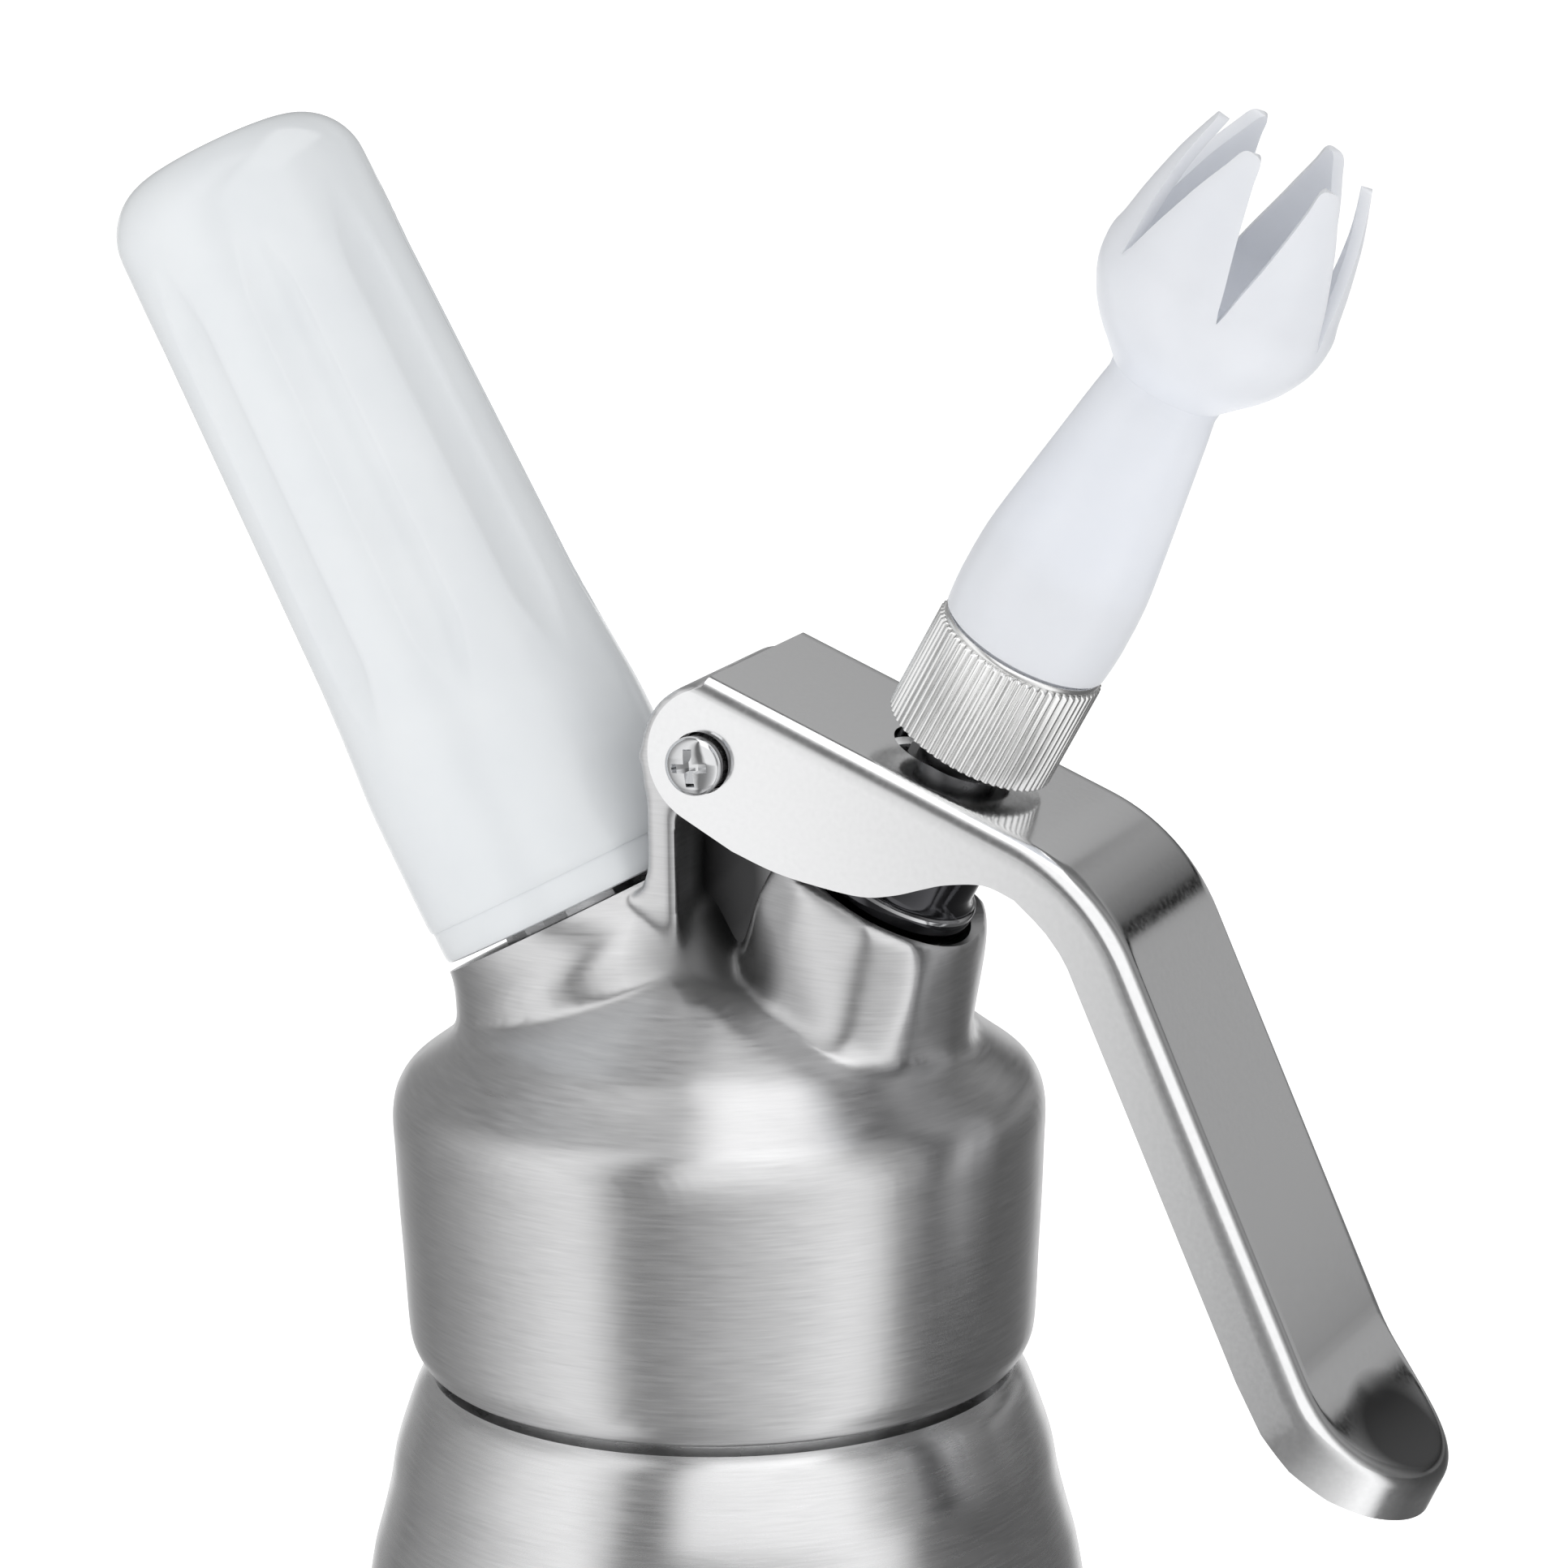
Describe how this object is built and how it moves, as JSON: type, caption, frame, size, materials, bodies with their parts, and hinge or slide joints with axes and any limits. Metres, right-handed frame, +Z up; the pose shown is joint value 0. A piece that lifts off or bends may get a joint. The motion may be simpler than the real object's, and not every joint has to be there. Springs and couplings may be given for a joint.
{
  "type": "whipped cream dispenser",
  "caption": "Hand-held cream whipper: screw-top bottle, tilted charger holder, sprung lever valve and petalled decorator tip on a knurled collar.",
  "frame": {"origin": "centre of the bottle's base, on the surface it stands on", "axes": "+Z up along the bottle; +X towards the lever and decorator tip; the part is symmetric about the plane Y = 0"},
  "size_m": [0.1501, 0.08, 0.2871],
  "materials": {
    "cast_aluminium": "fine brushed, satin",
    "sheet_steel": "polished sheet",
    "chrome": "bright",
    "knurled_aluminium": "bright turned",
    "steel": "turned",
    "brass": "turned",
    "white_plastic": "gloss, moulded",
    "tip_plastic": "satin, moulded",
    "rubber": "matt",
    "silicone": "matt"
  },
  "bodies": {
    "bottle": {"bottle": "cast_aluminium"},
    "head_seal": {"head_gasket": "silicone"},
    "head": {"head": "cast_aluminium", "charger_port": "steel", "piercing_pin": "steel", "port_gasket": "rubber", "non_return_valve": "rubber", "valve_guide": "brass", "valve_spring": "steel", "pivot_sleeve": "steel", "pivot_screw_near": "steel", "pivot_screw_far": "steel", "pivot_washer_near": "steel", "pivot_washer_far": "steel"},
    "lever": {"lever": "sheet_steel"},
    "valve": {"valve_stem": "steel", "stem_seal": "rubber", "stem_slide_ring": "rubber", "valve_collar": "chrome", "collar_clip": "steel", "tip_adapter": "knurled_aluminium", "adapter_seal": "rubber"},
    "tip_seal": {"tip_washer": "rubber"},
    "tip": {"decorator_tip": "tip_plastic"},
    "charger": {"gas_charger": "steel"},
    "holder": {"charger_holder": "white_plastic", "holder_insert": "knurled_aluminium"}
  },
  "joints": [
    {"name": "head_rise", "type": "slide", "parent": "bottle", "child": "head_seal", "axis": [0, 0, 1], "range_m": [0, 0.008]},
    {"name": "head_unscrew", "type": "hinge", "parent": "head_seal", "child": "head", "pos_m": [0, 0, 0.16], "axis": [0, 0, 1], "range_deg": [0, 720]},
    {"name": "lever_press", "type": "hinge", "parent": "head", "child": "lever", "pos_m": [0.0046, 0, 0.2185], "axis": [0, 1, 0], "range_deg": [0, 9]},
    {"name": "valve_travel", "type": "slide", "parent": "head", "child": "valve", "axis": [-0.4901, 0, -0.8716], "range_m": [0, 0.003], "stiffness_N_per_m": 1500, "springref_m": -0.008, "deforming": ["valve_spring"]},
    {"name": "tip_rise", "type": "slide", "parent": "valve", "child": "tip_seal", "axis": [0.4901, 0, 0.8716], "range_m": [0, 0.004]},
    {"name": "tip_unscrew", "type": "hinge", "parent": "tip_seal", "child": "tip", "pos_m": [0.03676, 0, 0.23337], "axis": [0.4901, 0, 0.8716], "range_deg": [0, 720]},
    {"name": "holder_rise", "type": "slide", "parent": "head", "child": "charger", "axis": [-0.4679, 0, 0.8838], "range_m": [0, 0.005]},
    {"name": "holder_unscrew", "type": "hinge", "parent": "charger", "child": "holder", "pos_m": [-0.03275, 0, 0.22986], "axis": [-0.4679, 0, 0.8838], "range_deg": [0, 900]}
  ],
  "couplings": [
    {"joint": "head_unscrew", "follows": "head_rise", "rad_per_m": 1570.8},
    {"joint": "lever_press", "follows": "valve_travel", "rad_per_m": 52.356},
    {"joint": "tip_unscrew", "follows": "tip_rise", "rad_per_m": 3141.6},
    {"joint": "holder_unscrew", "follows": "holder_rise", "rad_per_m": 3141.6}
  ]
}
